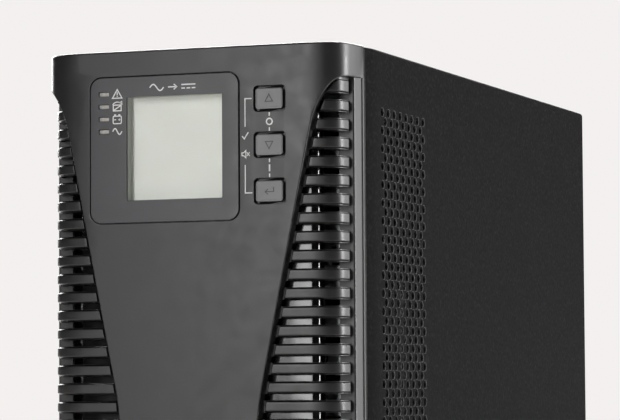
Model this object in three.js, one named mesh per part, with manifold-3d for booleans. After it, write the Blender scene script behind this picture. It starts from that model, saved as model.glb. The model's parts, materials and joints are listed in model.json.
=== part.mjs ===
// Tower uninterruptible power supply, 2 to 3 kVA class, as an assembly of separate named pieces.
// Millimetres. Seen from the front, +X points right, +Y to the rear and +Z up. While the pieces are
// made, y = 0 is the bezel's front face; the assembly is then moved so that the exported group has
// its origin at the centre of the footprint, on the floor.
import * as THREE from "three";
import { mergeVertices } from "three/addons/utils/BufferGeometryUtils.js";
import Module from "manifold-3d";

const wasm = await Module();
wasm.setup();

// ---------------------------------------------------------------- driving dimensions

const WIDTH = 190; // outside of the steel cover
const HEIGHT = 337; // floor to the top of the bezel
const DEPTH = 463; // bezel front to the cover's rear edge
const BASE_BOTTOM = 10; // underside of the base pan
const SHEET = 1.2; // chassis sheet steel
const GAP = 0.3; // clearance between pieces that touch
const SIDES = [-1, 1]; // left and right of the middle plane

const BEZEL = { depth: 30, wall: 2.6, rimDepth: 7.5, rimWidth: 2, steps: 7 };
const COVER = { top: 336.6, bottom: 10.5, wall: 1, radius: 2.5, front: BEZEL.depth + GAP };
const CHASSIS_HALF = WIDTH / 2 - COVER.wall - 0.4; // half width of what the cover slides over
const FRONT_PLATE_Y = BEZEL.depth + 1;
const FRONT_PLATE_HALF = 91.3; // clear of the cover's sides
const REAR_FACE = 456; // outer face of the rear panel
const REAR_INSIDE = REAR_FACE - SHEET;
const ON_REAR = REAR_FACE + GAP; // where a flange on the rear panel starts
const FLOOR = BASE_BOTTOM + SHEET; // upper face of the base pan

// The tapered centre panel between the two louvre windows, and the windows' limits.
const PANEL = {
  centreX: -1.5,
  stemHalf: 41,
  stemTop: HEIGHT - 201,
  slopeHalf: 72.4,
  slopeTop: HEIGHT - 46,
};
const WINDOW = { top: HEIGHT - 18.2, bottom: 40, back: 18.3, footRadius: 16 };
const SLAT = { pitch: 10.235, height: 5, inset: 3.7, thickness: 3.5, firstZ: HEIGHT - 34.35, count: 26 };
const TOP_SLAT = { bottom: HEIGHT - 28, top: HEIGHT - 21.6 }; // the one that the arch cuts short
const BAFFLE = { inset: 10.5, thickness: 2, grow: 4, rim: 3, slot: 4.6, steps: 5 };

const DISPLAY = { left: -60, right: 29.4, bottom: HEIGHT - 96, top: HEIGHT - 14.6, radius: 6.5 };
const LCD = { left: -37.8, right: 19.5, bottom: HEIGHT - 83.5, top: HEIGHT - 26 };
const LED = { x: -51.7, width: 6.4, height: 2.7, pitch: 6.98, firstZ: HEIGHT - 23.9, count: 4 };
const KEY = { x: 47.5, topZ: HEIGHT - 29.9, pitch: 25.4, width: 16, height: 11.5, proud: 0.8 };
const KEY_OPENING = { width: 18.5, height: 14.2, radius: 2.2 };
const KEY_NAMES = ["key_up", "key_down", "key_enter"];
const DISPLAY_BOARD = { left: -58, right: 55, bottom: HEIGHT - 98, top: HEIGHT - 12, y: 12.5 };

const BATTERY = { width: 151, depth: 65, height: 94, count: 6, gap: 0.5, frontY: 35.7 };
BATTERY.rearY = BATTERY.frontY + BATTERY.count * (BATTERY.depth + BATTERY.gap) - BATTERY.gap;
BATTERY.floorZ = FLOOR + SHEET + 2 * GAP;
BATTERY.topZ = BATTERY.floorZ + BATTERY.height;
const SHELF = { z: 121, front: 40, rear: 428, bossHeight: 4, bossRadius: 3.5 };
const BOARD = 1.6; // circuit board thickness
const POWER_BOARD_Z = SHELF.z + SHEET + SHELF.bossHeight + GAP;
const ON_POWER_BOARD = POWER_BOARD_Z + BOARD + GAP;
const CARD_SHELF = { left: 12, right: 90, front: 345, z: 294 };
const CONTROL_BOARD_Z = CARD_SHELF.z + SHEET + SHELF.bossHeight + GAP;
const ON_CONTROL_BOARD = CONTROL_BOARD_Z + BOARD + GAP;

const FAN = { size: 80, depth: 25, x: 43.5, z: 243, bore: 38, tip: 36, hub: 17, screw: 35.75, blades: 7 };
FAN.back = REAR_INSIDE - 0.5;
FAN.front = FAN.back - FAN.depth;
const GUARD = { wire: 1.6, rings: [11, 21, 31] };

// Sockets: [width, height] of the flange and body, of the trench that takes the plug's shroud, of
// the core inside it, and of each contact slot, with the slots' places on the core.
const OUTLET = {
  flange: [34, 28],
  body: [30, 23],
  trench: [27.6, 20],
  core: [22.4, 14.8],
  chamfer: 4,
  slot: [2.4, 5],
  contacts: [[-7, -2.2], [0, 2.6], [7, -2.2]],
};
const HIGH_CURRENT_OUTLET = {
  flange: [42, 34],
  body: [38, 30],
  trench: [35, 27],
  core: [29, 21],
  chamfer: 1.5,
  slot: [8.6, 2.6],
  contacts: [[-6.8, -4], [0, 4.2], [6.8, -4]],
};
const INLET = {
  flange: [50, 33],
  body: [36, 27],
  cavity: [31, 22],
  pin: [8, 2],
  pinTip: 5,
  contacts: [[-6.5, -3.5], [0, 4.5], [6.5, -3.5]],
};
const FLANGE = 2.2; // thickness of a socket's flange
const SOCKET_DEPTH = 16;
const OUTLET_PLACES = [[-60, 180], [-20, 180], [20, 180], [60, 180]];
const HIGH_CURRENT_PLACE = [-52, 140];
const INLET_PLACE = [-52, 84];
const BREAKER_PLACE = [5, 84];
const EARTH_PLACE = [45, 84];
const SLOT_COVER_PLACE = [-36, 308];
const USB = { x: 32, width: 12.4, height: 11.4, front: 440, mouth: 457 };
const SERIAL = { x: 64, width: 31, height: 12.6, front: 441, shell: [17.4, 9], mouth: 460.5 };
const BREAKER = { neck: 5.5, collar: 8, bore: 3.7, plunger: 3.3, plungerFront: 444, plungerTip: 461.3 };

const FOOT = { radius: 12, topRadius: 10, places: [[-72, 60], [72, 60], [-72, 425], [72, 425]] };

// ---------------------------------------------------------------- solids

// A closed manifold solid from a three.js geometry.
function solidOf(geometry) {
  const bare = new THREE.BufferGeometry();
  bare.setAttribute("position", geometry.getAttribute("position"));
  bare.setIndex(geometry.getIndex());
  const merged = mergeVertices(bare, 1e-4);
  return new wasm.Manifold(
    new wasm.Mesh({
      numProp: 3,
      vertProperties: merged.getAttribute("position").array,
      triVerts: new Uint32Array(merged.getIndex().array),
    }),
  );
}

function box(x0, x1, y0, y1, z0, z1) {
  const geometry = new THREE.BoxGeometry(x1 - x0, y1 - y0, z1 - z0);
  geometry.translate((x0 + x1) / 2, (y0 + y1) / 2, (z0 + z1) / 2);
  return solidOf(geometry);
}

// A box centred on a place [x, z], running back from y0 to y1.
function block([x, z], [width, height], y0, y1) {
  return box(x - width / 2, x + width / 2, y0, y1, z - height / 2, z + height / 2);
}

// A round rod along Y at a place [x, z].
function rodY([x, z], radius, y0, y1, sides = 16) {
  const geometry = new THREE.CylinderGeometry(radius, radius, y1 - y0, sides);
  geometry.translate(x, (y0 + y1) / 2, z);
  return solidOf(geometry);
}

// A round post along Z at a place [x, y], straight or tapered.
function post([x, y], radius, z0, z1, sides = 16, topRadius = radius) {
  const geometry = new THREE.CylinderGeometry(topRadius, radius, z1 - z0, sides);
  geometry.rotateX(Math.PI / 2);
  geometry.translate(x, y, (z0 + z1) / 2);
  return solidOf(geometry);
}

// An outline in X and Y, raised from z0 to z1.
function raise(shape, z0, z1) {
  const geometry = new THREE.ExtrudeGeometry(shape, { depth: z1 - z0, bevelEnabled: false });
  geometry.translate(0, 0, z0);
  return solidOf(geometry);
}

// An outline in X and Z, run back from y0 to y1.
function runBack(shape, y0, y1, curveSegments = 2) {
  const geometry = new THREE.ExtrudeGeometry(shape, {
    depth: y1 - y0,
    bevelEnabled: false,
    curveSegments,
  });
  geometry.rotateX(Math.PI / 2);
  geometry.translate(0, y1, 0);
  return solidOf(geometry);
}

// A ring about a Y axis, from a closed profile of [radius, y] points.
function ringGeometry(profile, sides) {
  const points = profile.map(([radius, y]) => new THREE.Vector2(radius, y));
  points.push(points[0].clone());
  return new THREE.LatheGeometry(points, sides);
}

function join(solids) {
  return solids.reduce((whole, next) => whole.add(next));
}

// ---------------------------------------------------------------- outlines

function roundedRectangle({ left, right, bottom, top, radius }, grow = 0) {
  const [x0, x1, z0, z1] = [left - grow, right + grow, bottom - grow, top + grow];
  const r = radius + grow;
  const shape = new THREE.Shape();
  shape.moveTo(x0 + r, z0);
  shape.lineTo(x1 - r, z0);
  shape.absarc(x1 - r, z0 + r, r, -Math.PI / 2, 0);
  shape.lineTo(x1, z1 - r);
  shape.absarc(x1 - r, z1 - r, r, 0, Math.PI / 2);
  shape.lineTo(x0 + r, z1);
  shape.absarc(x0 + r, z1 - r, r, Math.PI / 2, Math.PI);
  shape.lineTo(x0, z0 + r);
  shape.absarc(x0 + r, z0 + r, r, Math.PI, Math.PI * 1.5);
  return shape;
}

// The limits of a rectangle of [width, height] centred on [x, z].
function around([x, z], [width, height], radius) {
  return {
    left: x - width / 2,
    right: x + width / 2,
    bottom: z - height / 2,
    top: z + height / 2,
    radius,
  };
}

// A plug outline: a rectangle with its two upper corners cut off.
function plugOutline([x, z], [width, height], chamfer) {
  const right = width / 2;
  const top = height / 2;
  const shape = new THREE.Shape();
  shape.moveTo(x - right, z - top);
  shape.lineTo(x + right, z - top);
  shape.lineTo(x + right, z + top - chamfer);
  shape.lineTo(x + right - chamfer, z + top);
  shape.lineTo(x - right + chamfer, z + top);
  shape.lineTo(x - right, z + top - chamfer);
  return shape;
}

// Plan of the bezel's right half: flat front, soft corner, then a side that opens slightly.
const bezelCorner = new THREE.CubicBezierCurve(
  new THREE.Vector2(54.2, 0),
  new THREE.Vector2(88.4, 0),
  new THREE.Vector2(89.4, 4.3),
  new THREE.Vector2(93.8, BEZEL.depth),
);

// The bezel's plan moved inwards by inset; its open ends run on past the rear edge by extra.
function bezelOutline(inset, steps, extra = 0) {
  const half = [];
  for (let i = 0; i <= steps; i++) {
    const point = bezelCorner.getPoint(i / steps);
    const along = bezelCorner.getTangent(i / steps);
    half.push(new THREE.Vector2(point.x - inset * along.y, point.y + inset * along.x));
  }
  const last = half[steps];
  if (extra > 0) half.push(last.clone().addScaledVector(bezelCorner.getTangent(1), extra));
  const mirrored = half.map(({ x, y }) => new THREE.Vector2(-x, y)).reverse();
  return new THREE.Shape([...mirrored, ...half]);
}

// A wall that follows the bezel's plan, between two insets.
function bezelBand(outer, inner, steps, z0, z1) {
  const whole = raise(bezelOutline(outer, steps), z0, z1);
  return whole.subtract(raise(bezelOutline(inner, steps, 15), z0 - 1, z1 + 1));
}

// Front outline of one louvre window, made larger all round by grow.
function windowOutline(side, grow) {
  const x = (half) => PANEL.centreX + side * (half - grow);
  const outside = (side * WIDTH) / 2 + side;
  const top = WINDOW.top + grow;
  const bottom = WINDOW.bottom - grow;
  const shape = new THREE.Shape();
  shape.moveTo(x(PANEL.stemHalf), PANEL.stemTop);
  shape.lineTo(x(PANEL.slopeHalf), PANEL.slopeTop);
  shape.bezierCurveTo(x(75), HEIGHT - 34, x(82.5), top, x(93), top);
  shape.lineTo(outside, top);
  shape.lineTo(outside, bottom);
  shape.lineTo(x(PANEL.stemHalf + WINDOW.footRadius), bottom);
  shape.quadraticCurveTo(x(PANEL.stemHalf), bottom, x(PANEL.stemHalf), bottom + WINDOW.footRadius);
  return shape;
}

function windowPrism(side, grow) {
  return runBack(windowOutline(side, grow), -1, WINDOW.back + grow, 6);
}

// ---------------------------------------------------------------- bezel and display

// Level bars across a window, one for each full slat.
function slatBars(height) {
  const bars = [];
  for (let i = 0; i < SLAT.count; i++) {
    const z = SLAT.firstZ - i * SLAT.pitch;
    bars.push(box(-WIDTH, WIDTH, -1, BEZEL.depth, z - height / 2, z + height / 2));
  }
  return join(bars);
}

function windowRim(side) {
  const band = bezelBand(0, BEZEL.rimDepth, BEZEL.steps, BASE_BOTTOM, HEIGHT);
  return band.intersect(windowPrism(side, BEZEL.rimWidth)).subtract(windowPrism(side, 0));
}

function slats(side) {
  const band = bezelBand(SLAT.inset, SLAT.inset + SLAT.thickness, BEZEL.steps, BASE_BOTTOM, HEIGHT);
  const topBar = box(-WIDTH, WIDTH, -1, BEZEL.depth, TOP_SLAT.bottom, TOP_SLAT.top);
  const bars = slatBars(SLAT.height).add(topBar);
  return band.intersect(bars).intersect(windowPrism(side, 1));
}

// Hooked tongues inside the bezel's sides that snap behind the front plate.
function snapTabs(side) {
  const tabs = [];
  for (const z of [70, 262]) {
    const tongue = [side * 87.8, side * 91].sort((a, b) => a - b);
    const hook = [side * 84.8, side * 88].sort((a, b) => a - b);
    tabs.push(box(...tongue, 22, 36, z - 5, z + 5));
    tabs.push(box(...hook, FRONT_PLATE_Y + SHEET + GAP, 36, z - 5, z + 5));
  }
  return join(tabs);
}

function frontBezel() {
  const inside = bezelOutline(BEZEL.wall, BEZEL.steps, 15);
  let bezel = raise(bezelOutline(0, BEZEL.steps), BASE_BOTTOM, HEIGHT);
  bezel = bezel.subtract(raise(inside, BASE_BOTTOM + BEZEL.wall, HEIGHT - BEZEL.wall));
  for (const side of SIDES) {
    bezel = bezel.subtract(windowPrism(side, 0));
    bezel = join([bezel, windowRim(side), slats(side), snapTabs(side)]);
  }
  bezel = bezel.subtract(runBack(roundedRectangle(DISPLAY, 0.4), -1, BEZEL.wall + 1, 4));
  for (let i = 0; i < KEY_NAMES.length; i++) {
    const { width, height, radius } = KEY_OPENING;
    const opening = around([KEY.x, KEY.topZ - i * KEY.pitch], [width, height], radius);
    bezel = bezel.subtract(runBack(roundedRectangle(opening), -1, BEZEL.wall + 1));
  }
  return bezel;
}

// The second row of slats, set half a pitch below the first and joined by a rim.
function innerBaffle(side) {
  const { inset, thickness, grow, rim, slot, steps } = BAFFLE;
  const back = inset + thickness;
  const opening = windowPrism(side, grow - rim);
  const sheet = bezelBand(inset, back, steps, BASE_BOTTOM, HEIGHT).intersect(windowPrism(side, grow));
  const slots = slatBars(slot).intersect(opening);
  const rimBand = bezelBand(BEZEL.rimDepth + GAP, back, steps, BASE_BOTTOM, HEIGHT);
  const rimWall = rimBand.intersect(windowPrism(side, grow)).subtract(opening);
  return sheet.subtract(slots).add(rimWall);
}

// A block over the screen's window, made larger all round by grow.
function screenBlock(grow, y0, y1) {
  return box(LCD.left - grow, LCD.right + grow, y0, y1, LCD.bottom - grow, LCD.top + grow);
}

function ledPlace(i) {
  return [LED.x, LED.firstZ - i * LED.pitch];
}

// Plate around the screen: thin in front of the lens, with a flange behind the bezel wall.
function displayFrame() {
  let frame = runBack(roundedRectangle(DISPLAY), -0.2, 3, 4);
  frame = frame.add(runBack(roundedRectangle(DISPLAY, 2.4), 2.9, 4.1, 4));
  frame = frame.subtract(screenBlock(0, -1, 5));
  frame = frame.subtract(screenBlock(1.7, 0.6, 5));
  for (let i = 0; i < LED.count; i++) {
    frame = frame.subtract(block(ledPlace(i), [LED.width, LED.height], -1, 5));
  }
  return frame;
}

function lcdLens() {
  return screenBlock(1.4, 0.9, 2.4);
}

// Screen in its pale holder: the holder's rim stands in the frame's pocket behind the lens.
function lcdModule() {
  return screenBlock(1.4, 2.7, 5).add(screenBlock(4.5, 4.7, 11)).subtract(screenBlock(0.2, 2, 6.7));
}

// One moulded light guide: four windows on a common back.
function ledLightBar() {
  const pieces = [];
  for (let i = 0; i < LED.count; i++) {
    pieces.push(block(ledPlace(i), [LED.width - 0.3, LED.height - 0.3], 0.4, 5));
  }
  const middle = [LED.x, LED.firstZ - (LED.pitch * (LED.count - 1)) / 2];
  pieces.push(block(middle, [9, LED.pitch * LED.count], 4.6, 9));
  return join(pieces);
}

// Cap in its opening, a flange that holds it behind the wall, and a stem above its switch.
function key(i) {
  const place = [KEY.x, KEY.topZ - i * KEY.pitch];
  const cap = runBack(roundedRectangle(around(place, [KEY.width, KEY.height], 1.5)), -KEY.proud, 3.4);
  const flange = block(place, [KEY_OPENING.width + 2.5, KEY_OPENING.height + 2.4], 3.2, 4.4);
  return join([cap, flange, block(place, [4, 4], 4.2, 6.5)]);
}

function displayBoard() {
  const { left, right, bottom, top, y } = DISPLAY_BOARD;
  const pieces = [box(left, right, y, y + BOARD, bottom, top)];
  for (let i = 0; i < KEY_NAMES.length; i++) {
    pieces.push(block([KEY.x, KEY.topZ - i * KEY.pitch], [6, 6], 8.2, y + 0.1));
  }
  return join(pieces);
}

// ---------------------------------------------------------------- sheet metal

// Folded cover: top and both sides in one sheet.
function topCover() {
  const shape = new THREE.Shape();
  const right = WIDTH / 2;
  const { top, bottom, wall, radius } = COVER;
  shape.moveTo(right, bottom);
  shape.lineTo(right, top - radius);
  shape.absarc(right - radius, top - radius, radius, 0, Math.PI / 2);
  shape.lineTo(-right + radius, top);
  shape.absarc(-right + radius, top - radius, radius, Math.PI / 2, Math.PI);
  shape.lineTo(-right, bottom);
  shape.lineTo(-right + wall, bottom);
  shape.lineTo(-right + wall, top - wall);
  shape.lineTo(right - wall, top - wall);
  shape.lineTo(right - wall, bottom);
  return runBack(shape, COVER.front, DEPTH);
}

function basePan() {
  const half = CHASSIS_HALF;
  const [front, rear, rim] = [FRONT_PLATE_Y + SHEET + GAP, REAR_INSIDE - GAP, 36];
  const pan = box(-half, half, front, rear, BASE_BOTTOM, rim);
  const inside = box(-half + SHEET, half - SHEET, front + SHEET, rear - SHEET, FLOOR, rim + 1);
  const floor = box(-half, half, FRONT_PLATE_Y, REAR_FACE, BASE_BOTTOM, FLOOR);
  return pan.subtract(inside).add(floor);
}

// Bright inner front sheet with slots for the cooling air and notches for the bezel's tabs.
function frontPlate() {
  const back = FRONT_PLATE_Y + SHEET;
  const top = COVER.top - COVER.wall - GAP;
  let plate = box(-FRONT_PLATE_HALF, FRONT_PLATE_HALF, FRONT_PLATE_Y, back, FLOOR + GAP, top);
  for (const side of SIDES) {
    for (let z = 60; z <= 290; z += 23) {
      plate = plate.subtract(block([side * 58, z], [44, 9], FRONT_PLATE_Y - 1, back + 1));
    }
    for (const z of [70, 262]) {
      plate = plate.subtract(block([side * 92, z], [10, 11], FRONT_PLATE_Y - 1, back + 1));
    }
  }
  return plate;
}

// Bridge over the batteries that carries the power board on bosses.
function midShelf() {
  const half = CHASSIS_HALF - SHEET - GAP;
  const { z, front, rear, bossHeight, bossRadius } = SHELF;
  const pieces = [box(-half, half, front, rear, z, z + SHEET)];
  for (const side of SIDES) {
    const leg = [side * half, side * (half - SHEET)].sort((a, b) => a - b);
    pieces.push(box(...leg, front, rear, FLOOR + GAP, z + SHEET));
    for (const y of [60, 235, 410]) {
      pieces.push(post([side * 80, y], bossRadius, z, z + SHEET + bossHeight, 10));
    }
  }
  return join(pieces);
}

function panelCut(place, [width, height]) {
  return block(place, [width + 0.8, height + 0.8], REAR_INSIDE - 1, REAR_FACE + 1);
}

// Rear sheet with every cut-out, and the small shelf behind it that carries the control board.
function rearPanel() {
  const top = COVER.top - COVER.wall - GAP;
  let panel = box(-CHASSIS_HALF, CHASSIS_HALF, REAR_INSIDE, REAR_FACE, FLOOR + GAP, top);
  for (const side of SIDES) {
    panel = panel.subtract(rodY([side * FAN.x, FAN.z], FAN.bore, REAR_INSIDE - 1, REAR_FACE + 1, 28));
  }
  const cuts = OUTLET_PLACES.map((place) => panelCut(place, OUTLET.body));
  cuts.push(panelCut(HIGH_CURRENT_PLACE, HIGH_CURRENT_OUTLET.body));
  cuts.push(panelCut(INLET_PLACE, INLET.body));
  cuts.push(panelCut(SLOT_COVER_PLACE, [76, 20]));
  cuts.push(panelCut([USB.x, onControlBoard(USB.height)], [USB.width, USB.height]));
  cuts.push(panelCut([SERIAL.x, onControlBoard(SERIAL.height)], SERIAL.shell));
  cuts.push(rodY(BREAKER_PLACE, BREAKER.neck + 0.4, REAR_INSIDE - 1, REAR_FACE + 1));
  cuts.push(rodY(EARTH_PLACE, 2.9, REAR_INSIDE - 1, REAR_FACE + 1, 12));
  for (const side of SIDES) {
    const place = [SLOT_COVER_PLACE[0] + side * 42, SLOT_COVER_PLACE[1]];
    cuts.push(rodY(place, 2.3, REAR_INSIDE - 1, REAR_FACE + 1, 10));
  }
  for (const cut of cuts) panel = panel.subtract(cut);
  return panel.add(cardShelf());
}

function cardShelf() {
  const { left, right, front, z } = CARD_SHELF;
  const pieces = [box(left, right, front, REAR_INSIDE + 0.1, z, z + SHEET)];
  for (const x of [left + 8, right - 8]) {
    for (const y of [front + 12, REAR_INSIDE - 25]) {
      pieces.push(post([x, y], SHELF.bossRadius, z, z + SHEET + SHELF.bossHeight, 10));
    }
  }
  return join(pieces);
}

function foot(place) {
  return post(place, FOOT.topRadius, 0, BASE_BOTTOM - GAP, 16, FOOT.radius);
}

// ---------------------------------------------------------------- batteries

function batteryTray() {
  const half = BATTERY.width / 2 + GAP;
  const [front, rear] = [BATTERY.frontY - GAP, BATTERY.rearY + GAP];
  const [bottom, rim] = [FLOOR + GAP, 40];
  const outside = box(-half - SHEET, half + SHEET, front - SHEET, rear + SHEET, bottom, rim);
  return outside.subtract(box(-half, half, front, rear, bottom + SHEET, rim + 1));
}

// Sealed battery case with its two terminals.
function battery(i) {
  const front = BATTERY.frontY + i * (BATTERY.depth + BATTERY.gap);
  const half = BATTERY.width / 2;
  const pieces = [box(-half, half, front, front + BATTERY.depth, BATTERY.floorZ, BATTERY.topZ)];
  for (const side of SIDES) {
    const x = side * (half - 14);
    pieces.push(box(x - 4.5, x + 4.5, front + 5, front + 12, BATTERY.topZ - 0.1, BATTERY.topZ + 5));
  }
  return join(pieces);
}

// Channel between the batteries and the shelf that keeps them from lifting.
function batteryRetainer() {
  const [bottom, top] = [BATTERY.topZ + GAP, SHELF.z - GAP];
  const channel = box(-22, 22, 37, 427, bottom, top);
  return channel.subtract(box(-22 + SHEET, 22 - SHEET, 36, 428, bottom + SHEET, top + 1));
}

// ---------------------------------------------------------------- power electronics

function powerBoard() {
  return box(-86, 86, 50, 420, POWER_BOARD_Z, POWER_BOARD_Z + BOARD);
}

// Extruded heatsink: an outer wall with fins towards the middle, in line with the air.
function heatsink(side) {
  const [front, rear, top, fin] = [110, 330, 208, 2.4];
  const across = (inner, outer) => [side * inner, side * outer].sort((a, b) => a - b);
  const pieces = [box(...across(78, 84), front, rear, ON_POWER_BOARD, top)];
  for (let z = ON_POWER_BOARD + 4; z < top - fin; z += 12) {
    pieces.push(box(...across(44, 79), front, rear, z, z + fin));
  }
  return join(pieces);
}

function bulkCapacitor(i) {
  return post([-21, 130 + i * 38], 16, ON_POWER_BOARD, ON_POWER_BOARD + 50, 18);
}

// Wound ring core lying flat on the board.
function toroid(place) {
  const profile = [[12, 0], [18, 0], [21, 4], [21, 20], [18, 24], [12, 24], [9, 20], [9, 4]];
  const geometry = ringGeometry(profile, 18);
  geometry.rotateX(Math.PI / 2);
  geometry.translate(...place, ON_POWER_BOARD);
  return solidOf(geometry);
}

function chargerTransformer() {
  const z = ON_POWER_BOARD;
  const core = box(-25, 25, 262, 302, z + 4, z + 40);
  return core.add(box(-17, 17, 254, 310, z, z + 44));
}

function controlBoard() {
  const { left, right, front } = CARD_SHELF;
  return box(left + 2, right, front + 4, REAR_INSIDE - 2, CONTROL_BOARD_Z, CONTROL_BOARD_Z + BOARD);
}

// ---------------------------------------------------------------- fans

function fanFrame(side) {
  const centre = [side * FAN.x, FAN.z];
  let frame = runBack(roundedRectangle(around(centre, [FAN.size, FAN.size], 4)), FAN.front, FAN.back);
  frame = frame.subtract(rodY(centre, FAN.bore, FAN.front - 1, FAN.back + 1, 28));
  frame = frame.add(rodY(centre, FAN.hub, FAN.front, FAN.front + 3, 20));
  frame = frame.add(block(centre, [FAN.size - 2, 5], FAN.front, FAN.front + 2.5));
  frame = frame.add(block(centre, [5, FAN.size - 2], FAN.front, FAN.front + 2.5));
  return frame;
}

function fanRotor(side) {
  const centre = [side * FAN.x, FAN.z];
  const [front, back] = [FAN.front + 4.2, FAN.back - 3.2];
  const pieces = [rodY(centre, FAN.hub, front, back, 20)];
  const length = FAN.tip - FAN.hub + 1;
  for (let i = 0; i < FAN.blades; i++) {
    const blade = new THREE.BoxGeometry(length, 1.6, 20);
    blade.rotateX(THREE.MathUtils.degToRad(35));
    blade.translate(FAN.tip - length / 2, 0, 0);
    blade.rotateY((i * 2 * Math.PI) / FAN.blades);
    blade.translate(centre[0], (front + back) / 2, centre[1]);
    pieces.push(solidOf(blade));
  }
  return join(pieces);
}

// Wire guard: rings on two crossed wires, with an ear over each of the fan's screws.
function fanGuard(side) {
  const centre = [side * FAN.x, FAN.z];
  const ringY = ON_REAR + 1.7;
  const pieces = [rodY(centre, 4, ON_REAR + 0.2, ringY + GUARD.wire, 12)];
  for (const radius of GUARD.rings) {
    const [inner, outer] = [radius - GUARD.wire / 2, radius + GUARD.wire / 2];
    const geometry = ringGeometry([[inner, 0], [outer, 0], [outer, GUARD.wire], [inner, GUARD.wire]], 20);
    geometry.translate(centre[0], ringY, centre[1]);
    pieces.push(solidOf(geometry));
  }
  for (const turn of [Math.PI / 4, -Math.PI / 4]) {
    const wire = new THREE.BoxGeometry(FAN.screw * 2 * Math.SQRT2, 1.8, 1.8);
    wire.rotateY(turn);
    wire.translate(centre[0], ON_REAR + 1.1, centre[1]);
    pieces.push(solidOf(wire));
  }
  for (const x of SIDES) {
    for (const z of SIDES) {
      const ear = [centre[0] + x * FAN.screw, centre[1] + z * FAN.screw];
      pieces.push(rodY(ear, 4.2, ON_REAR, ON_REAR + 2, 10));
    }
  }
  return join(pieces);
}

// ---------------------------------------------------------------- rear connectors

// Outlet: a flanged body whose core stands in a trench that takes the plug's shroud.
function outlet(spec, place) {
  const face = ON_REAR + FLANGE;
  const bottom = face - SOCKET_DEPTH;
  let socket = runBack(roundedRectangle(around(place, spec.flange, 2)), ON_REAR, face);
  socket = socket.add(block(place, spec.body, bottom - 2, ON_REAR + 0.1));
  const trench = runBack(plugOutline(place, spec.trench, spec.chamfer + 1), bottom, face + 1);
  const core = runBack(plugOutline(place, spec.core, spec.chamfer), bottom - 1, face + 2);
  socket = socket.subtract(trench.subtract(core));
  for (const [x, z] of spec.contacts) {
    socket = socket.subtract(block([place[0] + x, place[1] + z], spec.slot, bottom + 1, face + 1));
  }
  return socket;
}

// Mains inlet: three flat pins in an open cavity.
function powerInlet() {
  const face = ON_REAR + FLANGE;
  const bottom = face - 20;
  let inlet = runBack(roundedRectangle(around(INLET_PLACE, INLET.flange, 4)), ON_REAR, face);
  inlet = inlet.add(block(INLET_PLACE, INLET.body, bottom - 2, ON_REAR + 0.1));
  inlet = inlet.subtract(block(INLET_PLACE, INLET.cavity, bottom, face + 1));
  for (const [x, z] of INLET.contacts) {
    const place = [INLET_PLACE[0] + x, INLET_PLACE[1] + z];
    inlet = inlet.add(block(place, INLET.pin, bottom - 1, face - INLET.pinTip));
  }
  return inlet;
}

function breakerBody() {
  let body = block(BREAKER_PLACE, [14, 28], 434, REAR_INSIDE - GAP);
  body = body.add(rodY(BREAKER_PLACE, BREAKER.neck, 450, ON_REAR + 1));
  body = body.add(rodY(BREAKER_PLACE, BREAKER.collar, ON_REAR, ON_REAR + 2.4, 6));
  return body.subtract(rodY(BREAKER_PLACE, BREAKER.bore, BREAKER.plungerFront - 1, ON_REAR + 3));
}

function breakerButton() {
  return rodY(BREAKER_PLACE, BREAKER.plunger, BREAKER.plungerFront, BREAKER.plungerTip);
}

// Height of the middle of a port that stands on the control board.
function onControlBoard(height) {
  return ON_CONTROL_BOARD + height / 2;
}

function usbPort() {
  const place = [USB.x, onControlBoard(USB.height)];
  const shell = block(place, [USB.width, USB.height], USB.front, USB.mouth);
  const cavity = block(place, [9.6, 8.8], USB.mouth - 9, USB.mouth + 1);
  return shell.subtract(cavity).add(block(place, [5.6, 3.2], USB.mouth - 10, USB.mouth - 1));
}

// Nine-way port: block on the board, flange inside the panel, metal shell through it.
function serialPort() {
  const place = [SERIAL.x, onControlBoard(SERIAL.height)];
  const flangeBack = REAR_INSIDE - GAP;
  let port = block(place, [SERIAL.width, SERIAL.height], flangeBack - 1.2, flangeBack);
  port = port.add(block(place, [SERIAL.width - 6, SERIAL.height], SERIAL.front, flangeBack - 1));
  port = port.add(block(place, SERIAL.shell, flangeBack - 1, SERIAL.mouth));
  const inside = SERIAL.shell.map((size) => size - 1.6);
  return port.subtract(block(place, inside, SERIAL.mouth - 7, SERIAL.mouth + 1));
}

function earthScrew() {
  return rodY(EARTH_PLACE, 5, ON_REAR, ON_REAR + 3.6, 6).add(rodY(EARTH_PLACE, 2.4, 446, ON_REAR + 1, 10));
}

// Blank over the communication slot, held by two thumbscrews.
function slotCover() {
  let cover = runBack(roundedRectangle(around(SLOT_COVER_PLACE, [96, 30], 1)), ON_REAR, ON_REAR + SHEET);
  for (const side of SIDES) {
    const place = [SLOT_COVER_PLACE[0] + side * 42, SLOT_COVER_PLACE[1]];
    cover = cover.add(rodY(place, 4.5, ON_REAR + 1, ON_REAR + 6));
    cover = cover.add(rodY(place, 1.9, REAR_INSIDE - 4, ON_REAR + 1.1, 10));
  }
  return cover;
}

// ---------------------------------------------------------------- finishes and assembly

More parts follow.
